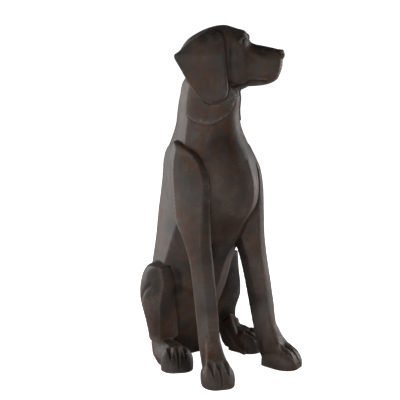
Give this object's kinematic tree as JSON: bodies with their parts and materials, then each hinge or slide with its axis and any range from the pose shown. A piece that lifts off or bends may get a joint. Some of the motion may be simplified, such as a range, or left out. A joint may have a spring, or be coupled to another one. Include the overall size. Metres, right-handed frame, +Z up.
{
  "type": "sitting dog sculpture",
  "caption": "Short-haired dog sitting upright on its rump with its head turned to its left, cast in one piece of dark resin, standing on its own paws as a floor ornament",
  "frame": {"origin": "middle of the footprint's bounding box, on the floor that the paws and the rump stand on", "axes": "+Z up, the dog's body faces -Y, +X is the dog's left"},
  "size_m": [0.268, 0.3438, 0.698],
  "materials": {
    "resin": "satin, dark charcoal brown with rusty red-brown in the hollows"
  },
  "bodies": {
    "root": {"sitting_dog": "resin"}
  },
  "joints": []
}
